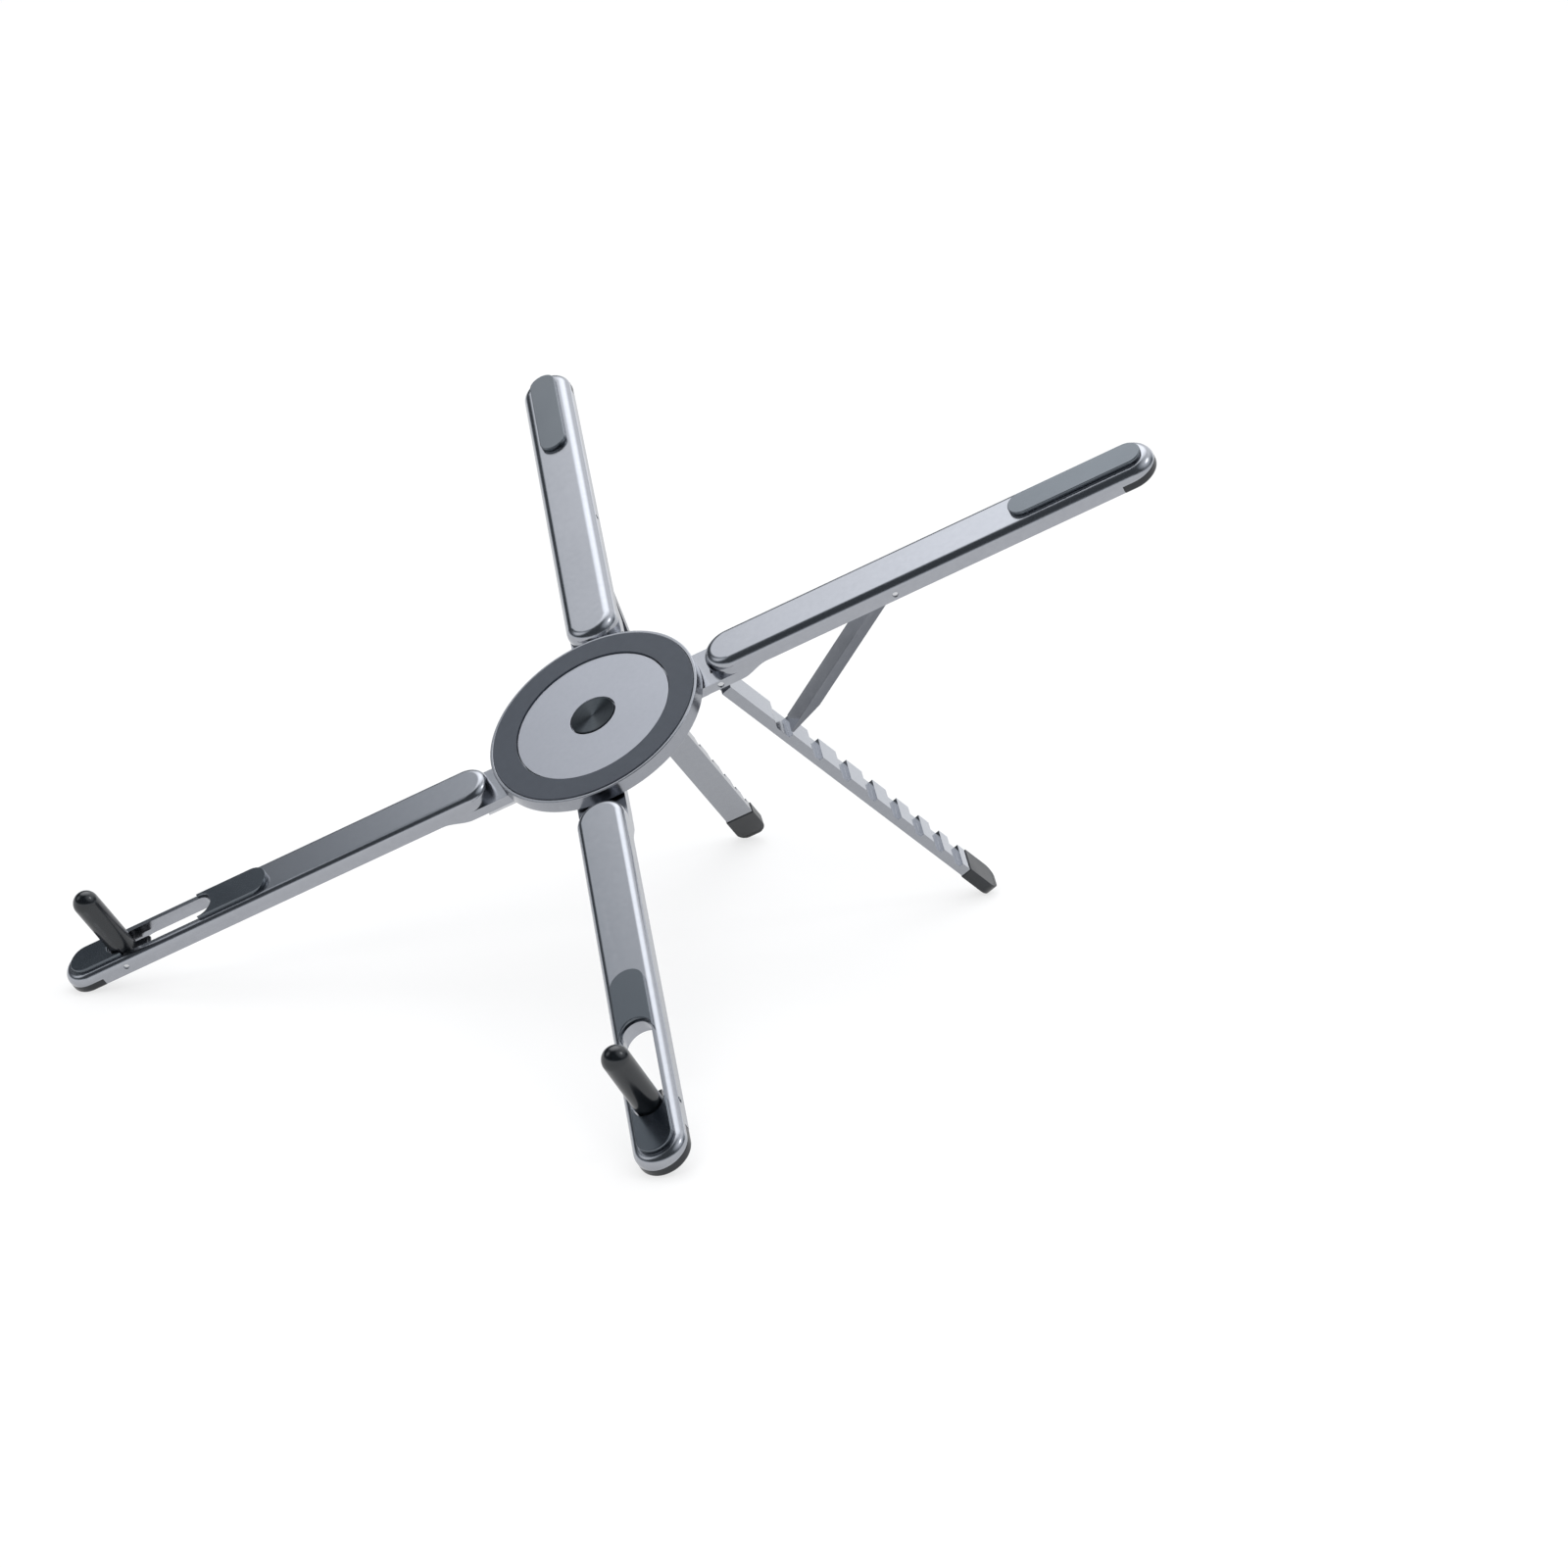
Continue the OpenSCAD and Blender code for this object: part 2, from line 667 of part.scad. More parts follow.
module tip_pad(side) {
    notch_r = hook_d / 2 + 1.5 * gap;
    pad_end = hook_x + tip_pad_len - front_pad_w / 2;
    color(RUBBER) at_pivot(side, FRONT) translate([0, 0, arm_top_z]) difference() {
        linear_extrude(pad_h) {
            translate([hook_x, -front_pad_w / 2]) square([pad_end - hook_x, front_pad_w]);
            translate([pad_end, 0]) circle(d = front_pad_w);
        }
        translate([hook_x, 0, -eps]) cylinder(r = notch_r, h = pad_h + 2 * eps);
    }
}

module grip_pad(side) {
    pad_start = slot_inner - grip_pad_len + front_pad_w / 2;
    color(RUBBER) at_pivot(side, FRONT) translate([0, 0, arm_top_z]) difference() {
        linear_extrude(pad_h) {
            translate([pad_start, -front_pad_w / 2]) square([slot_inner - pad_start, front_pad_w]);
            translate([pad_start, 0]) circle(d = front_pad_w);
        }
        translate([slot_inner, 0, -eps]) cylinder(r = slot_r + grip_pad_gap, h = pad_h + 2 * eps);
    }
}

module back_pad(side) {
    half = back_pad_w / 2;
    color(RUBBER) at_pivot(side, BACK) translate([0, 0, arm_top_z]) linear_extrude(pad_h) {
        stadium(back_pad_end - back_pad_len + half, back_pad_end - half, back_pad_w);
    }
}

// Hooks

module hook(side) {
    shaft = hook_top_z - hook_pin_z;
    flat_low = arm_bottom_z + gap - hook_pin_z;
    heel_w = 0.7 * hook_d;
    heel_end = heel_t / 2 - hook_d / 2 - heel_len;
    color(BLACK) at_hook(side) difference() {
        union() {
            cylinder(d = hook_d, h = shaft);
            for (z = [0, shaft]) translate([0, 0, z]) sphere(d = hook_d);
            block(heel_end, 0, heel_w, flat_low, flat_low + heel_t);
            translate([heel_end, 0, flat_low + heel_t / 2]) cross_pin(heel_t, heel_w);
        }
        translate([-hook_d / 2, -hook_d / 2, -hook_d]) cube([hook_d, hook_d, hook_d + flat_low]);
        cross_pin(hook_pin_d + 2 * pin_play, hook_d + eps);
    }
}

module hook_pin(side) {
    color(STEEL) at_hook(side) cross_pin(hook_pin_d, front_arm_w - 2 * pin_inset);
}

// Legs, drawn along X from their pin with the notches on top

function notch_wall(i) = first_wall + i * first_pitch - pitch_drop * i * (i - 1) / 2;

module leg_profile() {
    difference() {
        translate([leg_shoulder, leg_back]) square([foot_start - leg_shoulder, leg_t]);
        for (i = [0 : notch_count - 1]) notch_profile(notch_wall(i), i == 0 ? first_floor_extra : 0);
    }
}

module notch_profile(wall, extra) {
    floor_start = wall - notch_floor - extra;
    polygon([
        [wall, leg_face + eps], [wall, leg_face - notch_depth],
        [floor_start, leg_face - notch_depth], [floor_start - notch_ramp, leg_face + eps],
    ]);
}

module leg(side) {
    stem_end = leg_shoulder + eps;
    color(METAL) at_leg(side) difference() {
        union() {
            rotate([90, 0, 0]) linear_extrude(leg_w, center = true) leg_profile();
            cross_pin(leg_knuckle_d, leg_knuckle_w);
            block(0, stem_end, leg_knuckle_w, leg_back, leg_face);
            foot_core(0);
        }
        cross_pin(leg_pin_d + 2 * pin_play, leg_w);
    }
}

// The leg's thinner end inside its rubber foot
module foot_core(room) {
    low = -leg_offset - foot_core_t / 2;
    start = foot_start - (room > 0 ? room : eps);
    end = foot_start + foot_core_len + room;
    block(start, end, foot_core_w + 2 * room, low - room, low + foot_core_t + room);
}

module leg_pin(side) {
    color(STEEL) at_leg(side) cross_pin(leg_pin_d, back_arm_w - 2 * pin_inset);
}

module foot_side() {
    translate([foot_start, -leg_offset - foot_t / 2]) square([foot_len - foot_edge_r, foot_t]);
    translate([foot_start, -leg_offset - foot_flat]) square([foot_len, 2 * foot_flat]);
    for (z = [-foot_flat, foot_flat]) translate([foot_along, z - leg_offset]) circle(r = foot_edge_r);
}

module foot_top() {
    corner_y = foot_w / 2 - foot_corner;
    translate([foot_start, -foot_w / 2]) square([foot_len - foot_corner, foot_w]);
    translate([foot_start, -corner_y]) square([foot_len, 2 * corner_y]);
    for (y = [-corner_y, corner_y]) translate([leg_len - foot_corner, y]) circle(r = foot_corner);
}

module foot(side) {
    color(BLACK) at_leg(side) difference() {
        intersection() {
            rotate([90, 0, 0]) linear_extrude(foot_w, center = true) foot_side();
            translate([0, 0, -foot_t - leg_offset]) linear_extrude(2 * foot_t) foot_top();
        }
        foot_core(pin_seat);
    }
}

// Struts, drawn along X from their pin

module strut_profile() {
    half = strut_t / 2;
    circle(r = strut_end_r);
    polygon([
        [0, half], [0, -half], [strut_len, -half],
        [strut_len, toe_t - half], [strut_len - toe_taper, half],
    ]);
}

module strut(side) {
    fork_start = -strut_end_r - eps;
    color(METAL) at_strut(side) difference() {
        rotate([90, 0, 0]) linear_extrude(strut_w, center = true) strut_profile();
        block(fork_start, fork_depth, fork_w, -strut_t, strut_t);
        cross_pin(strut_pin_d + 2 * pin_play, strut_w + eps);
    }
}

module strut_pin(side) {
    color(STEEL) at_strut(side) cross_pin(strut_pin_d, back_arm_w - 2 * pin_inset);
}

hub_cup();
hub_rubber_ring();
hub_top_disc();
hub_button();
hub_axle();
front_carrier();
back_carrier();
front_rivets();
back_rivets();
front_arm(LEFT);  // front_left_arm
front_arm(RIGHT);  // front_right_arm
back_arm(LEFT);  // back_left_arm
back_arm(RIGHT);  // back_right_arm
neck_plate(LEFT, FRONT, front_plate_end);  // front_left_neck_plate
neck_plate(RIGHT, FRONT, front_plate_end);  // front_right_neck_plate
neck_plate(LEFT, BACK, back_plate_end);  // back_left_neck_plate
neck_plate(RIGHT, BACK, back_plate_end);  // back_right_neck_plate
neck_screws(LEFT);  // back_left_neck_screws
neck_screws(RIGHT);  // back_right_neck_screws
tip_cap(LEFT, FRONT);  // front_left_tip_cap
tip_cap(RIGHT, FRONT);  // front_right_tip_cap
tip_cap(LEFT, BACK);  // back_left_tip_cap
tip_cap(RIGHT, BACK);  // back_right_tip_cap
tip_pad(LEFT);  // left_tip_pad
tip_pad(RIGHT);  // right_tip_pad
grip_pad(LEFT);  // left_grip_pad
grip_pad(RIGHT);  // right_grip_pad
back_pad(LEFT);  // left_back_pad
back_pad(RIGHT);  // right_back_pad
hook(LEFT);  // left_hook
hook(RIGHT);  // right_hook
hook_pin(LEFT);  // left_hook_pin
hook_pin(RIGHT);  // right_hook_pin
leg(LEFT);  // left_leg
leg(RIGHT);  // right_leg
leg_pin(LEFT);  // left_leg_pin
leg_pin(RIGHT);  // right_leg_pin
foot(LEFT);  // left_foot
foot(RIGHT);  // right_foot
strut(LEFT);  // left_strut
strut(RIGHT);  // right_strut
strut_pin(LEFT);  // left_strut_pin
strut_pin(RIGHT);  // right_strut_pin
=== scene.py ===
import bpy
import bmesh
import json
import math
from mathutils import Matrix, Vector


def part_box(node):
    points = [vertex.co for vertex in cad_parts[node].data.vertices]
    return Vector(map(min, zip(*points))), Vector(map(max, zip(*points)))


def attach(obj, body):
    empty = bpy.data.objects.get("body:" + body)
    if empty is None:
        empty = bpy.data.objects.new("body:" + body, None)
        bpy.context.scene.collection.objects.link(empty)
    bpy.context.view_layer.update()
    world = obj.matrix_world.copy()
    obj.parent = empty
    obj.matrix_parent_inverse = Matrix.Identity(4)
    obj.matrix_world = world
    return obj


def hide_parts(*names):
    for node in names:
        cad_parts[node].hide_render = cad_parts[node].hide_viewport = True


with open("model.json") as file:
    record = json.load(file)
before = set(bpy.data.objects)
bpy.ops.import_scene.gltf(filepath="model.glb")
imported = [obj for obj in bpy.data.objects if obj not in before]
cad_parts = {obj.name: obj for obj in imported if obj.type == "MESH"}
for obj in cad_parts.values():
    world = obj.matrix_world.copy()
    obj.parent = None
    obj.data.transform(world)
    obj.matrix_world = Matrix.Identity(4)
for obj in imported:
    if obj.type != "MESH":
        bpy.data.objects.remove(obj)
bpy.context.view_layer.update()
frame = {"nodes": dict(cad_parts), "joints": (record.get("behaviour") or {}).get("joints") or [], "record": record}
nodes = frame["nodes"]
print("frame loaded:", len(nodes), "nodes")

mm = 0.001
sides = ("left", "right")
ends = ("front", "back")
bodyOf = {}
for bodyName, members in frame["record"]["behaviour"]["bodies"].items():
    for member in members:
        bodyOf[member] = bodyName


def middle(name):
    low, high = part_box(name)
    return (Vector(low) + Vector(high)) / 2


def opaque(color):
    return color + (1,)


# a socket takes a plain value, or a link from another socket
def feed(tree, socket, value):
    if isinstance(value, bpy.types.NodeSocket):
        tree.links.new(value, socket)
    else:
        socket.default_value = value


def feedAll(tree, node, values):
    for label, value in values.items():
        feed(tree, node.inputs[label.replace("_", " ")], value)


# a node's own switches; any other setting names one of its sockets
switches = ("operation", "data_type", "interpolation_type", "use_clamp", "clamp")


def addNode(tree, kind, **settings):
    node = tree.nodes.new(kind)
    for name in switches:
        if name in settings:
            setattr(node, name, settings.pop(name))
    feedAll(tree, node, settings)
    return node


def addMath(tree, operation, first, second, **settings):
    node = addNode(tree, "ShaderNodeMath", operation=operation, **settings)
    feed(tree, node.inputs[0], first)
    feed(tree, node.inputs[1], second)
    return node.outputs[0]


def addVectorMath(tree, operation, *values, result="Vector"):
    node = addNode(tree, "ShaderNodeVectorMath", operation=operation)
    for socket, value in zip(node.inputs, values):
        feed(tree, socket, value)
    return node.outputs[result]


def addRange(tree, value, **settings):
    return addNode(tree, "ShaderNodeMapRange", clamp=True, Value=value, **settings).outputs["Result"]


def addBlend(tree, share, first, second):
    blend = addNode(tree, "ShaderNodeMix", data_type="RGBA", Factor=share, A=first, B=second)
    return blend.outputs["Result"]


# a noise in the piece's own coordinates, or along the vector that is given
def addNoise(tree, scale, detail, roughness, vector=None):
    if vector is None:
        vector = addNode(tree, "ShaderNodeTexCoord").outputs["Object"]
    noise = addNode(tree, "ShaderNodeTexNoise", Vector=vector, Scale=scale, Detail=detail,
                    Roughness=roughness)
    return noise.outputs[0]


def newGroup(name, inputs, outputs):
    group = bpy.data.node_groups.new(name, "ShaderNodeTree")
    for direction, sockets in (("INPUT", inputs), ("OUTPUT", outputs)):
        for label, kind in sockets.items():
            group.interface.new_socket(name=label, in_out=direction, socket_type="NodeSocket" + kind)
    return group, group.nodes.new("NodeGroupInput").outputs, group.nodes.new("NodeGroupOutput")


# fine blasted or moulded grain, with a slower tone around 0.5
grainEffect = {"detail": 3.0, "roughness": 0.65, "slower": 0.12, "slowDetail": 2.0, "slowRoughness": 0.5}


def makeGrainGroup(look):
    group, given, leave = newGroup("fineGrain", {"Scale": "Float", "Coarse": "Float"},
                                   {"Height": "Float", "Tone": "Float"})
    fine = addNoise(group, given["Scale"], look["detail"], look["roughness"])
    wider = addMath(group, "MULTIPLY", given["Scale"], look["slower"])
    slow = addNoise(group, wider, look["slowDetail"], look["slowRoughness"])
    both = addNode(group, "ShaderNodeMix", data_type="FLOAT", Factor=given["Coarse"], A=fine, B=slow)
    feedAll(group, leave, {"Height": both.outputs["Result"], "Tone": slow})
    return group


# rubbed edges, broken up into patches
wearEffect = {"detail": 4.0, "roughness": 0.6, "patchLow": 0.38, "patchHigh": 0.62}


def makeWearGroup(look):
    group, given, leave = newGroup("edgeWear", {"Start": "Float", "End": "Float", "Patches": "Float",
                                                "Amount": "Float"}, {"Mask": "Float"})
    corner = addNode(group, "ShaderNodeNewGeometry").outputs["Pointiness"]
    edge = addRange(group, corner, interpolation_type="SMOOTHSTEP", From_Min=given["Start"],
                    From_Max=given["End"])
    patches = addNoise(group, given["Patches"], look["detail"], look["roughness"])
    broken = addRange(group, patches, From_Min=look["patchLow"], From_Max=look["patchHigh"])
    cut = addMath(group, "MULTIPLY", edge, broken)
    level = addMath(group, "MULTIPLY", cut, given["Amount"], use_clamp=True)
    feedAll(group, leave, {"Mask": level})
    return group


# soft handling marks that change the gloss over a few millimetres
smudgeEffect = {"detail": 3.0, "roughness": 0.55, "markLow": 0.35, "markHigh": 0.65}


def makeSmudgeGroup(look):
    group, given, leave = newGroup("smudges", {"Scale": "Float", "Low": "Float", "High": "Float"},
                                   {"Roughness": "Float"})
    marks = addNoise(group, given["Scale"], look["detail"], look["roughness"])
    level = addRange(group, marks, From_Min=look["markLow"], From_Max=look["markHigh"],
                     To_Min=given["Low"], To_Max=given["High"])
    feedAll(group, leave, {"Roughness": level})
    return group


# long fine drawing lines: a noise whose coordinates are squeezed along one direction
drawnEffect = {"detail": 4.0, "roughness": 0.7, "squeeze": 0.975}


def makeDrawnGroup(look):
    group, given, leave = newGroup("drawnLines", {"Along": "Vector", "Scale": "Float"}, {"Height": "Float"})
    place = addNode(group, "ShaderNodeTexCoord").outputs["Object"]
    reach = addVectorMath(group, "DOT_PRODUCT", place, given["Along"], result="Value")
    shorter = addMath(group, "MULTIPLY", reach, look["squeeze"])
    back = addVectorMath(group, "MULTIPLY", given["Along"], shorter)
    squeezed = addVectorMath(group, "SUBTRACT", place, back)
    lines = addNoise(group, given["Scale"], look["detail"], look["roughness"], squeezed)
    feedAll(group, leave, {"Height": lines})
    return group


grainGroup = makeGrainGroup(grainEffect)
wearGroup = makeWearGroup(wearEffect)
smudgeGroup = makeSmudgeGroup(smudgeEffect)
drawnGroup = makeDrawnGroup(drawnEffect)
print("shared effects built")


def placeGroup(tree, group, **values):
    node = tree.nodes.new("ShaderNodeGroup")
    node.node_tree = group
    feedAll(tree, node, values)
    return node.outputs


def newMaterial(name):
    material = bpy.data.materials.new(name)
    material.use_nodes = True
    tree = material.node_tree
    return material, tree, tree.nodes["Principled BSDF"]


def addBump(tree, height, look):
    bump = addNode(tree, "ShaderNodeBump", Strength=look["bump"], Distance=look["bumpDepth"], Height=height)
    return bump.outputs[0]


# two tones of grain that turn paler where the edges are rubbed, with smudged gloss and a fine bump
def makeGrained(name, look, along=None):
    material, tree, shader = newMaterial(name)
    grain = placeGroup(tree, grainGroup, Scale=look["grainScale"], Coarse=look["coarse"])
    wear = placeGroup(tree, wearGroup, Start=look["wearStart"], End=look["wearEnd"],
                      Patches=look["wearPatches"], Amount=look["wearAmount"])
    marks = placeGroup(tree, smudgeGroup, Scale=look["markScale"], Low=look["roughLow"],
                       High=look["roughHigh"])
    shade = addBlend(tree, grain["Tone"], opaque(look["dark"]), opaque(look["light"]))
    height = grain["Height"]
    if along is not None:
        height = placeGroup(tree, drawnGroup, Along=along, Scale=look["lineScale"])["Height"]
    feedAll(tree, shader, {
        "Base Color": addBlend(tree, wear["Mask"], shade, opaque(look["bare"])),
        "Roughness": marks["Roughness"],
        "Normal": addBump(tree, height, look),
    })
    return material, tree, shader


# satin or bright metal, blasted all over or drawn along one direction
def makeMetal(name, look, along=None):
    material, tree, shader = makeGrained(name, look, along)
    feedAll(tree, shader, {"Metallic": 1.0})
    return material


# rubber, silicone or moulded plastic
def makeRubber(name, look):
    material, tree, shader = makeGrained(name, look)
    feedAll(tree, shader, {
        "IOR": look["ior"], "Specular IOR Level": look["gloss"], "Specular Tint": opaque(look["gleam"]),
        "Sheen Weight": look["sheen"], "Sheen Roughness": look["sheenSpread"],
    })
    return material


# a lathe-turned face: fine rings round its middle, and highlights that fan out from there
def makeTurned(name, look, centre, axis):
    material, tree, shader = newMaterial(name)
    place = addNode(tree, "ShaderNodeTexCoord").outputs["Object"]
    away = addVectorMath(tree, "SUBTRACT", place, centre)
    around = addVectorMath(tree, "CROSS_PRODUCT", axis, away)
    radius = addVectorMath(tree, "LENGTH", around, result="Value")
    line = addNode(tree, "ShaderNodeCombineXYZ", X=radius).outputs[0]
    rings = addNoise(tree, look["rings"], look["detail"], look["roughness"], line)
    feedAll(tree, shader, {
        "Metallic": 1.0, "Anisotropic": look["anisotropy"],
        "Base Color": addBlend(tree, rings, opaque(look["dark"]), opaque(look["light"])),
        "Roughness": addRange(tree, rings, To_Min=look["roughLow"], To_Max=look["roughHigh"]),
        "Normal": addBump(tree, rings, look),
        "Tangent": addVectorMath(tree, "NORMALIZE", around),
    })
    return material


# weld is a distance in metres, and the angles are in degrees
rounding = {"weld": 2e-6, "flatAngle": 0.4, "cornerAngle": 28, "faceWeight": 60}


# a CAD piece again, with its sharp edges rounded as the real one's are
def softened(name, look, material):
    built = bmesh.new()
    built.from_mesh(nodes[name].data)
    bmesh.ops.remove_doubles(built, verts=built.verts, dist=rounding["weld"])
    bmesh.ops.dissolve_limit(built, angle_limit=math.radians(rounding["flatAngle"]), verts=built.verts,
                             edges=built.edges)
    mesh = bpy.data.meshes.new(name + "Soft")
    built.to_mesh(mesh)
    built.free()
    for face in mesh.polygons:
        face.use_smooth = True
    piece = bpy.data.objects.new(name + "Soft", mesh)
    bpy.context.scene.collection.objects.link(piece)
    bevel = piece.modifiers.new("round", "BEVEL")
    bevel.width = look["edge"]
    bevel.segments = look["edgeSteps"]
    bevel.limit_method = "ANGLE"
    bevel.angle_limit = math.radians(rounding["cornerAngle"])
    flat = piece.modifiers.new("flat", "WEIGHTED_NORMAL")
    flat.mode = "FACE_AREA"
    flat.weight = rounding["faceWeight"]
    shaped = bpy.data.meshes.new_from_object(piece.evaluated_get(bpy.context.evaluated_depsgraph_get()))
    piece.modifiers.clear()
    piece.data = shaped
    shaped.materials.clear()
    shaped.materials.append(material)
    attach(piece, bodyOf[name])
    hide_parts(name)


def finishNode(name, material):
    nodes[name].data.materials.clear()
    nodes[name].data.materials.append(material)


# the arms swing round axes that stand square to the deck
deckMid = middle("hub_top_disc")
swingAxis = next(joint["axis"] for joint in frame["joints"] if joint["name"] == "front_right_swing")
deckUp = Vector(swingAxis).normalized()
if deckUp.z < 0:
    deckUp = -deckUp

# grey anodised aluminium, which most of the frame is made of
anodised = {
    "dark": (0.38, 0.395, 0.43), "light": (0.42, 0.435, 0.47), "bare": (0.62, 0.63, 0.66),
    "grainScale": 5200.0, "coarse": 0.3, "bump": 0.02, "bumpDepth": 0.03 * mm,
    "wearStart": 0.6, "wearEnd": 0.74, "wearPatches": 260.0, "wearAmount": 0.2,
    "markScale": 45.0, "roughLow": 0.19, "roughHigh": 0.22,
    "edge": 0.22 * mm, "edgeSteps": 2,
}
cupLook = dict(anodised, dark=(0.29, 0.302, 0.33), light=(0.32, 0.332, 0.36), roughHigh=0.23,
               edge=0.35 * mm, edgeSteps=3)
softened("hub_cup", cupLook, makeMetal("cupMetal", cupLook))

ringLook = {
    "dark": (0.037, 0.044, 0.058), "light": (0.047, 0.056, 0.073), "bare": (0.09, 0.1, 0.12),
    "grainScale": 3600.0, "coarse": 0.35, "bump": 0.3, "bumpDepth": 0.05 * mm,
    "wearStart": 0.54, "wearEnd": 0.68, "wearPatches": 300.0, "wearAmount": 0.4,
    "markScale": 50.0, "roughLow": 0.42, "roughHigh": 0.47, "ior": 1.5, "gloss": 0.5,
    "gleam": (0.94, 0.97, 1.0), "sheen": 0.03, "sheenSpread": 0.5,
    "edge": 0.12 * mm, "edgeSteps": 2,
}
softened("hub_rubber_ring", ringLook, makeRubber("ringSilicone", ringLook))

discLook = dict(anodised, dark=(0.44, 0.455, 0.5), light=(0.48, 0.495, 0.54), grainScale=6500.0, bump=0.25,
                markScale=35.0, roughLow=0.34, roughHigh=0.38, edge=0.12 * mm)
softened("hub_top_disc", discLook, makeMetal("discMetal", discLook))

buttonLook = {
    "dark": (0.06, 0.069, 0.078), "light": (0.13, 0.147, 0.162), "anisotropy": 1.0,
    "rings": 2600.0, "detail": 3.0, "roughness": 0.7,
    "roughLow": 0.55, "roughHigh": 0.62, "bump": 0.03, "bumpDepth": 0.02 * mm,
    "edge": 0.08 * mm, "edgeSteps": 2,
}
softened("hub_button", buttonLook, makeTurned("turnedButton", buttonLook, deckMid, deckUp))
print("hub finished")

carrierLook = dict(anodised, roughLow=0.22, roughHigh=0.27, edge=0.25 * mm)
carrierMetal = makeMetal("carrierMetal", carrierLook)
for end in ends:
    softened(end + "_carrier", carrierLook, carrierMetal)
print("carriers finished")

armLook = dict(anodised, dark=(0.335, 0.348, 0.378), light=(0.37, 0.383, 0.413), wearAmount=0.05)
armMetal = makeMetal("armMetal", armLook)
for end in ends:
    for side in sides:
        softened(end + "_" + side + "_arm", armLook, armMetal)
print("arms finished")

# plates, screws, rivets, pins and the hub's axle, in bright steel
steelLook = {
    "dark": (0.5, 0.51, 0.54), "light": (0.62, 0.63, 0.65), "bare": (0.8, 0.8, 0.8),
    "grainScale": 3800.0, "coarse": 0.5, "bump": 0.15, "bumpDepth": 0.03 * mm,
    "wearStart": 0.54, "wearEnd": 0.66, "wearPatches": 400.0, "wearAmount": 0.5,
    "markScale": 120.0, "roughLow": 0.15, "roughHigh": 0.22,
    "edge": 0.12 * mm, "edgeSteps": 2,
}
steel = makeMetal("brightSteel", steelLook)
for end in ends:
    for side in sides:
        softened(end + "_" + side + "_neck_plate", steelLook, steel)
for name in nodes:
    if name.endswith(("_axle", "_rivets", "_pin", "_screws")):
        finishNode(name, steel)
print("steel finished")

capLook = {
    "dark": (0.006, 0.007, 0.009), "light": (0.012, 0.013, 0.016), "bare": (0.05, 0.052, 0.06),
    "grainScale": 3000.0, "coarse": 0.4, "bump": 0.35, "bumpDepth": 0.05 * mm,
    "wearStart": 0.53, "wearEnd": 0.66, "wearPatches": 320.0, "wearAmount": 0.4,
    "markScale": 90.0, "roughLow": 0.3, "roughHigh": 0.36, "ior": 1.5, "gloss": 0.5,
    "gleam": (0.94, 0.97, 1.0), "sheen": 0.02, "sheenSpread": 0.5,
    "edge": 0.25 * mm, "edgeSteps": 2,
}
capRubber = makeRubber("capRubber", capLook)
for end in ends:
    for side in sides:
        softened(end + "_" + side + "_tip_cap", capLook, capRubber)

footLook = dict(capLook, dark=(0.012, 0.013, 0.015), light=(0.018, 0.019, 0.022), gloss=0.45,
                roughLow=0.32, roughHigh=0.4, edge=0.35 * mm, edgeSteps=3)
footRubber = makeRubber("footRubber", footLook)
for side in sides:
    softened(side + "_foot", footLook, footRubber)
print("caps and feet finished")

padLook = dict(capLook, dark=(0.004, 0.006, 0.009), light=(0.007, 0.009, 0.013), bare=(0.03, 0.035, 0.045),
               grainScale=3600.0, bump=0.2, roughLow=0.19, roughHigh=0.23, ior=1.72, gloss=1.0,
               gleam=(0.8, 0.9, 1.0), edge=0.22 * mm)
padRubber = makeRubber("padSilicone", padLook)
for side in sides:
    for pad in ("tip_pad", "grip_pad", "back_pad"):
        softened(side + "_" + pad, padLook, padRubber)
print("pads finished")

hookLook = dict(capLook, dark=(0.003, 0.004, 0.005), light=(0.006, 0.007, 0.009), bump=0.08,
                roughLow=0.17, roughHigh=0.21, gloss=0.65, sheen=0.0, edge=0.3 * mm)
hookRubber = makeRubber("hookSleeve", hookLook)
for side in sides:
    softened(side + "_hook", hookLook, hookRubber)
print("hooks finished")

# legs and struts are drawn bars, so their grain runs along them
legLook = dict(anodised, dark=(0.305, 0.318, 0.345), light=(0.335, 0.348, 0.375), lineScale=2200.0,
               bump=0.015, wearAmount=0.05, edge=0.2 * mm)
# the struts are the legs' metal painted about half as bright: painted shade for the dark face that the bars turn
# away from the light
shadedStrutLook = dict(legLook, bump=0.005, dark=(0.16, 0.169, 0.19), light=(0.17, 0.179, 0.2))
for side in sides:
    legAlong = (middle(side + "_foot") - middle(side + "_leg_pin")).normalized()
    legMetal = makeMetal(side + "LegMetal", legLook, legAlong)
    softened(side + "_leg", legLook, legMetal)
    strutAlong = (middle(side + "_strut") - middle(side + "_strut_pin")).normalized()
    shadedStrutMetal = makeMetal(side + "ShadedStrutMetal", shadedStrutLook, strutAlong)
    softened(side + "_strut", shadedStrutLook, shadedStrutMetal)
print("legs and struts finished")

# a big soft key light overhead with weaker lights round it, and a pale wall under a dark ceiling;
# inner and outer are cosines: the angles round its way at which a light is full, and at which it ends
studio = {
    "lights": {
        "key": {"from": (-0.42, 0.26, 0.868), "inner": 0.995, "outer": 0.86, "level": 2.5},
        "rear": {"from": (-0.2, 0.8, 0.55), "inner": 0.99, "outer": 0.8, "level": 1.2},
        "left": {"from": (-0.62, -0.48, 0.62), "inner": 0.995, "outer": 0.95, "level": 1.1},
        "right": {"from": (0.5, 0.3, 0.81), "inner": 0.97, "outer": 0.75, "level": 1.0},
        "glint": {"from": (0.53, 0.32, 0.78), "inner": 0.998, "outer": 0.985, "level": 4.0},
    },
    "wall": 1.2, "wallTop": 0.06, "ceiling": 0.1, "ceilingEdge": 0.28,
    "dimTint": (0.8, 0.9, 1.0), "brightTint": (0.97, 0.98, 1.0), "brightFrom": 1.2,
}


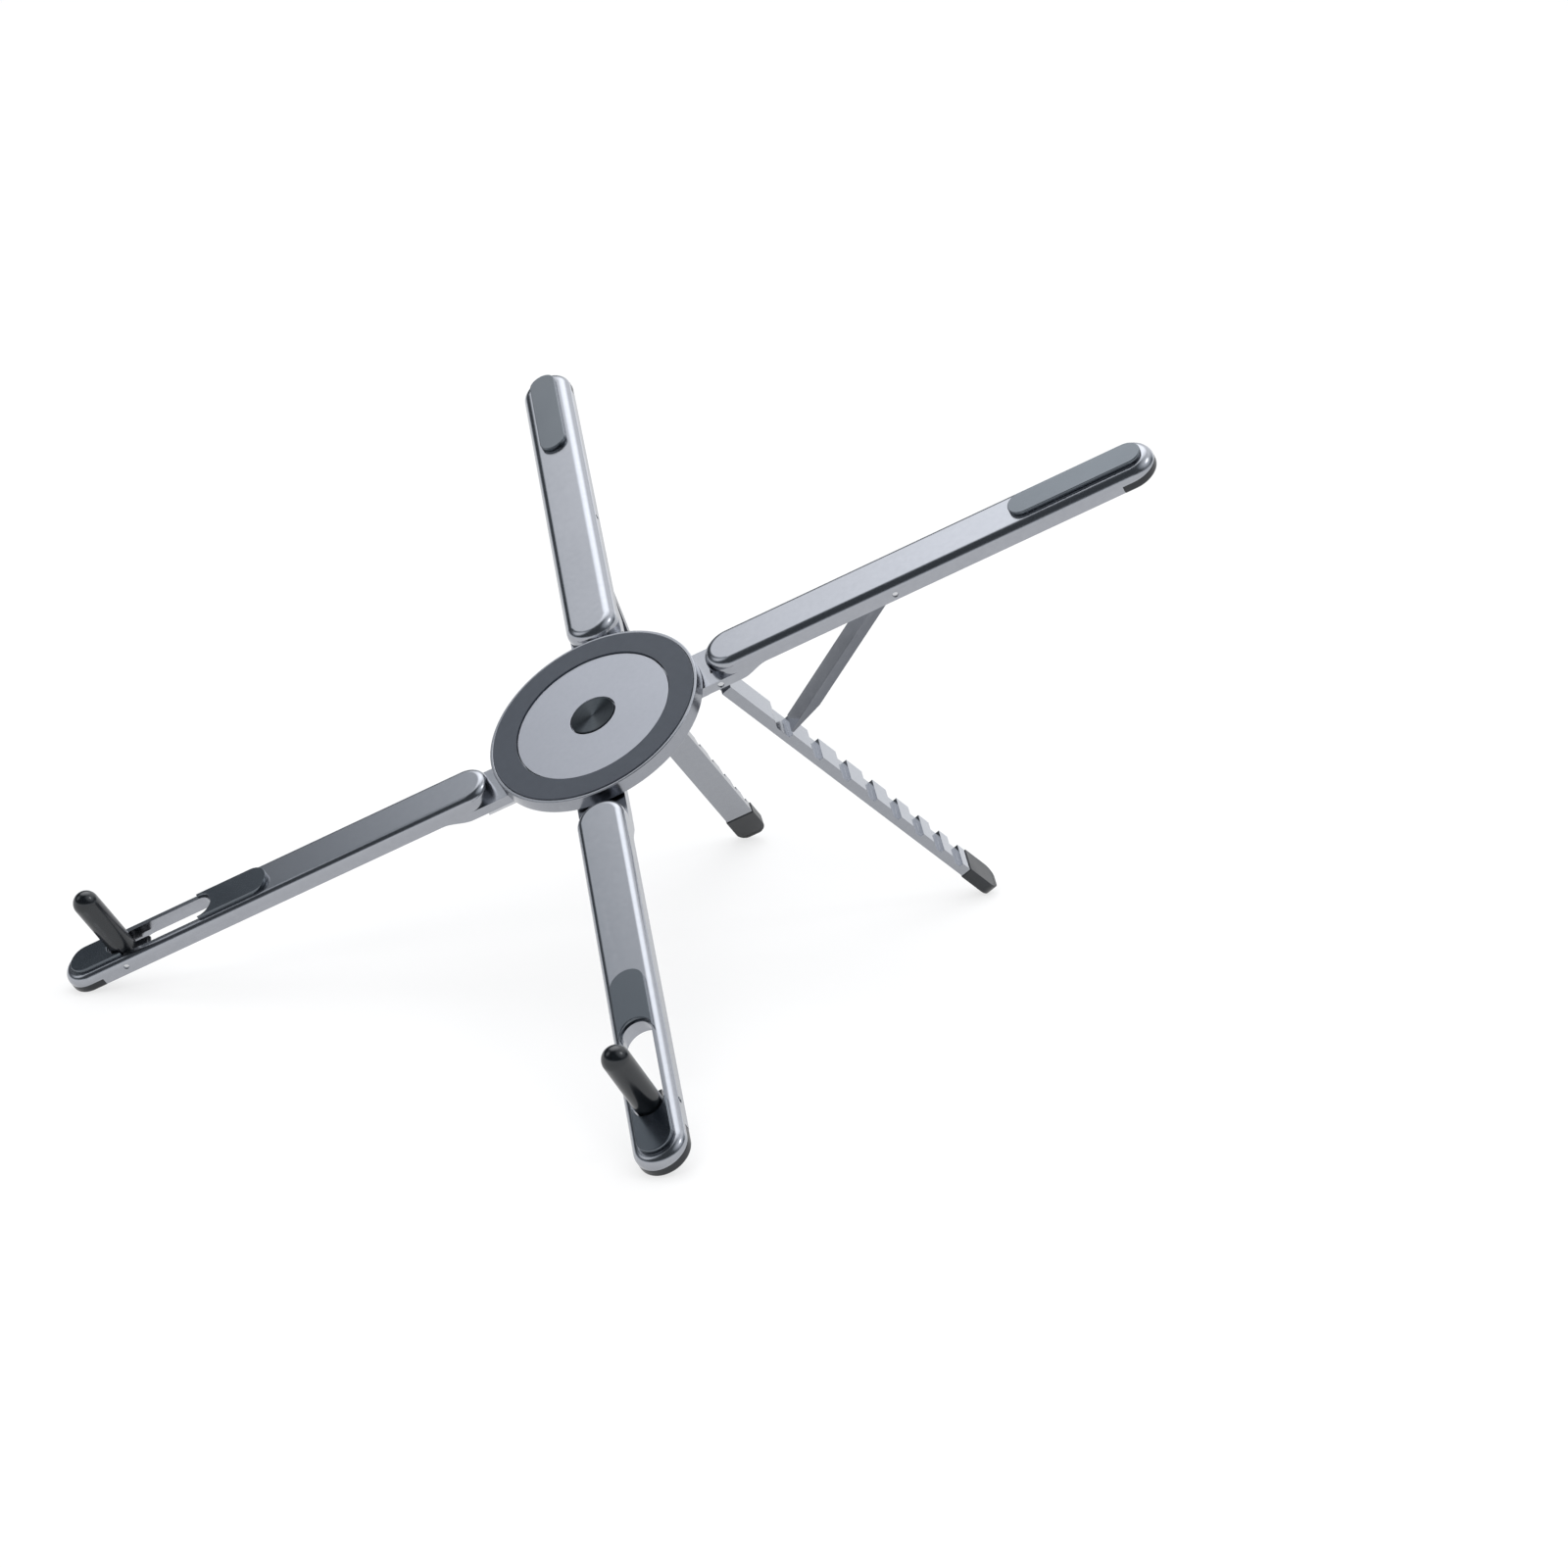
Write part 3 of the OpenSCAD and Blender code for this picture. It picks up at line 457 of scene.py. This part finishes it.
def makeWorld(look):
    world = bpy.data.worlds.new("studio")
    bpy.context.scene.world = world
    world.use_nodes = True
    tree = world.node_tree
    aim = addVectorMath(tree, "NORMALIZE", addNode(tree, "ShaderNodeTexCoord").outputs["Generated"])
    height = addNode(tree, "ShaderNodeSeparateXYZ", Vector=aim).outputs["Z"]
    level = addRange(tree, height, interpolation_type="SMOOTHSTEP", From_Min=look["wallTop"],
                     From_Max=look["ceilingEdge"], To_Min=look["wall"], To_Max=look["ceiling"])
    for light in look["lights"].values():
        toward = Vector(light["from"]).normalized()
        near = addVectorMath(tree, "DOT_PRODUCT", aim, toward, result="Value")
        seen = addRange(tree, near, From_Min=light["outer"], From_Max=light["inner"], To_Max=light["level"])
        level = addMath(tree, "ADD", level, seen)
    share = addRange(tree, level, From_Max=look["brightFrom"])
    tint = addBlend(tree, share, opaque(look["dimTint"]), opaque(look["brightTint"]))
    feedAll(tree, tree.nodes["Background"], {"Color": tint, "Strength": level})


floorLook = {"color": (0.96, 0.96, 0.962), "reach": 40.0, "drop": 0.05 * mm, "whiter": 0.72}


# the floor glows partly white to the camera and in reflections, and still takes the stand's shadow
def makeFloor(look):
    reach = look["reach"]
    corners = [(x * reach, y * reach, -look["drop"]) for x, y in ((-1, -1), (1, -1), (1, 1), (-1, 1))]
    mesh = bpy.data.meshes.new("floor")
    mesh.from_pydata(corners, [], [(0, 1, 2, 3)])
    floor = bpy.data.objects.new("floor", mesh)
    bpy.context.scene.collection.objects.link(floor)
    material, tree, shader = newMaterial("paleFloor")
    feedAll(tree, shader, {"Base Color": opaque(look["color"]), "Roughness": 1.0, "Specular IOR Level": 0.0})
    white = addNode(tree, "ShaderNodeEmission", Strength=1.0)
    path = addNode(tree, "ShaderNodeLightPath").outputs
    seen = addMath(tree, "MAXIMUM", path["Is Camera Ray"], path["Is Glossy Ray"])
    shown = addMath(tree, "MAXIMUM", seen, path["Is Transmission Ray"])
    blend = addNode(tree, "ShaderNodeMixShader")
    feed(tree, blend.inputs[0], addMath(tree, "MULTIPLY", shown, look["whiter"]))
    feed(tree, blend.inputs[1], shader.outputs[0])
    feed(tree, blend.inputs[2], white.outputs[0])
    feedAll(tree, tree.nodes["Material Output"], {"Surface": blend.outputs[0]})
    mesh.materials.append(material)


# a soft box in front, and a wide fill from above whose spread is in degrees
frontLamp = {"place": (0.55, -1.5, 1.5), "target": (0, 0, 0.05), "width": 0.9, "height": 0.6, "power": 8.0,
             "color": (1.0, 0.99, 0.97)}
fillLamp = {"from": (0.2, -0.3, 1.0), "level": 0.8, "spread": 80}


# the lamps don't show in the metal, which reflects the studio round it
def addLamp(name, data, place, aim):
    lamp = bpy.data.objects.new(name, data)
    bpy.context.scene.collection.objects.link(lamp)
    lamp.location = place
    lamp.rotation_euler = aim.to_track_quat("-Z", "Y").to_euler()
    lamp.visible_glossy = False


def makeSoftbox(name, look):
    data = bpy.data.lights.new(name, "AREA")
    data.shape = "RECTANGLE"
    data.size = look["width"]
    data.size_y = look["height"]
    data.energy = look["power"]
    data.color = look["color"]
    addLamp(name, data, look["place"], Vector(look["target"]) - Vector(look["place"]))


def makeFill(name, look):
    data = bpy.data.lights.new(name, "SUN")
    data.energy = look["level"]
    data.angle = math.radians(look["spread"])
    addLamp(name, data, look["from"], -Vector(look["from"]))


makeWorld(studio)
makeFloor(floorLook)
makeSoftbox("frontSoftbox", frontLamp)
makeFill("overheadFill", fillLamp)
print("studio built")

cameraLook = {
    "place": (0.64232, -0.62769, 0.31989), "forward": (-0.64884, 0.70382, -0.28921),
    "up": (-0.15827, 0.24693, 0.95602), "lens": 79.24, "sensor": 36.0, "near": 0.01, "far": 200.0,
}


def makeCamera(look):
    data = bpy.data.cameras.new("camera")
    data.lens = look["lens"]
    data.sensor_width = look["sensor"]
    data.clip_start = look["near"]
    data.clip_end = look["far"]
    camera = bpy.data.objects.new("camera", data)
    bpy.context.scene.collection.objects.link(camera)
    back = -Vector(look["forward"]).normalized()
    right = Vector(look["up"]).cross(back).normalized()
    turn = Matrix((right, back.cross(right), back)).transposed().to_4x4()
    camera.matrix_world = Matrix.Translation(look["place"]) @ turn
    bpy.context.scene.camera = camera


makeCamera(cameraLook)
bpy.context.scene.view_settings.view_transform = "Standard"
print("camera placed")
